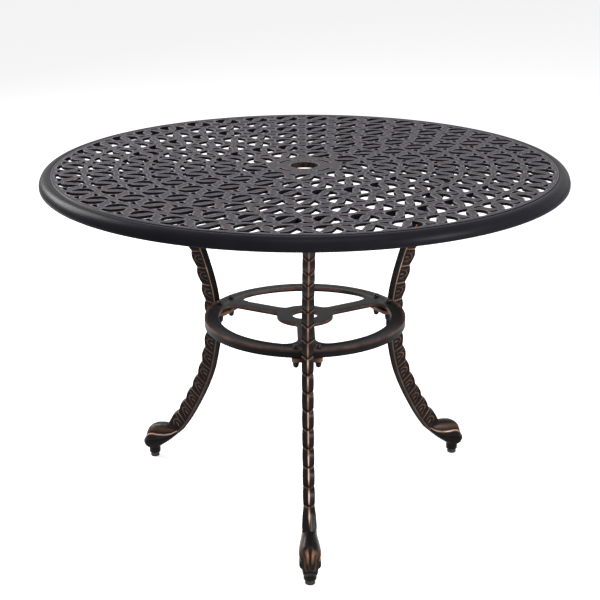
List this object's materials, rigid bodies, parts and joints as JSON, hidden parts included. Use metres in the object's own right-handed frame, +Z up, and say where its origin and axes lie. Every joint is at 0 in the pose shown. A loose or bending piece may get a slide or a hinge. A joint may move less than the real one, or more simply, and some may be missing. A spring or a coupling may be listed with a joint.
{
  "type": "umbrella table",
  "caption": "Round cast patio table with a pierced leaf-pattern top, a central umbrella hole, bowed lobed legs, a ring stretcher with a pole eye, and levelling feet.",
  "frame": {"origin": "on the floor under the middle of the round top, at the middle of the umbrella hole's axis", "axes": "+Z up along the umbrella hole's axis; -Y towards the front leg; +X to the right seen from the front"},
  "size_m": [1.0668, 1.0668, 0.732],
  "materials": {
    "charcoal_top": "satin",
    "charcoal_rim": "satin",
    "bronze_leg": "satin",
    "bronze_ring": "satin",
    "black_steel": "satin",
    "zinc_steel": "satin",
    "black_plastic": "matte"
  },
  "bodies": {
    "table": {"tabletop_rim": "charcoal_rim", "tabletop_lattice": "charcoal_top", "ring_stretcher": "bronze_ring", "front_leg": "bronze_leg", "front_top_bolt_1": "zinc_steel", "front_top_bolt_2": "zinc_steel", "front_top_washer_1": "zinc_steel", "front_top_washer_2": "zinc_steel", "front_ring_bolt_1": "black_steel", "front_ring_bolt_2": "black_steel", "front_ring_upper_washer_1": "black_steel", "front_ring_upper_washer_2": "black_steel", "front_ring_lower_washer_1": "black_steel", "front_ring_lower_washer_2": "black_steel", "front_ring_nut_1": "black_steel", "front_ring_nut_2": "black_steel", "right_leg": "bronze_leg", "right_top_bolt_1": "zinc_steel", "right_top_bolt_2": "zinc_steel", "right_top_washer_1": "zinc_steel", "right_top_washer_2": "zinc_steel", "right_ring_bolt_1": "black_steel", "right_ring_bolt_2": "black_steel", "right_ring_upper_washer_1": "black_steel", "right_ring_upper_washer_2": "black_steel", "right_ring_lower_washer_1": "black_steel", "right_ring_lower_washer_2": "black_steel", "right_ring_nut_1": "black_steel", "right_ring_nut_2": "black_steel", "left_leg": "bronze_leg", "left_top_bolt_1": "zinc_steel", "left_top_bolt_2": "zinc_steel", "left_top_washer_1": "zinc_steel", "left_top_washer_2": "zinc_steel", "left_ring_bolt_1": "black_steel", "left_ring_bolt_2": "black_steel", "left_ring_upper_washer_1": "black_steel", "left_ring_upper_washer_2": "black_steel", "left_ring_lower_washer_1": "black_steel", "left_ring_lower_washer_2": "black_steel", "left_ring_nut_1": "black_steel", "left_ring_nut_2": "black_steel"},
    "front_foot": {"front_levelling_stem": "zinc_steel", "front_glide": "black_plastic"},
    "right_foot": {"right_levelling_stem": "zinc_steel", "right_glide": "black_plastic"},
    "left_foot": {"left_levelling_stem": "zinc_steel", "left_glide": "black_plastic"}
  },
  "joints": [
    {"name": "front_foot_screw", "type": "slide", "parent": "table", "child": "front_foot", "axis": [0, 0, -1], "range_m": [0, 0.01]},
    {"name": "right_foot_screw", "type": "slide", "parent": "table", "child": "right_foot", "axis": [0, 0, -1], "range_m": [0, 0.01]},
    {"name": "left_foot_screw", "type": "slide", "parent": "table", "child": "left_foot", "axis": [0, 0, -1], "range_m": [0, 0.01]}
  ]
}
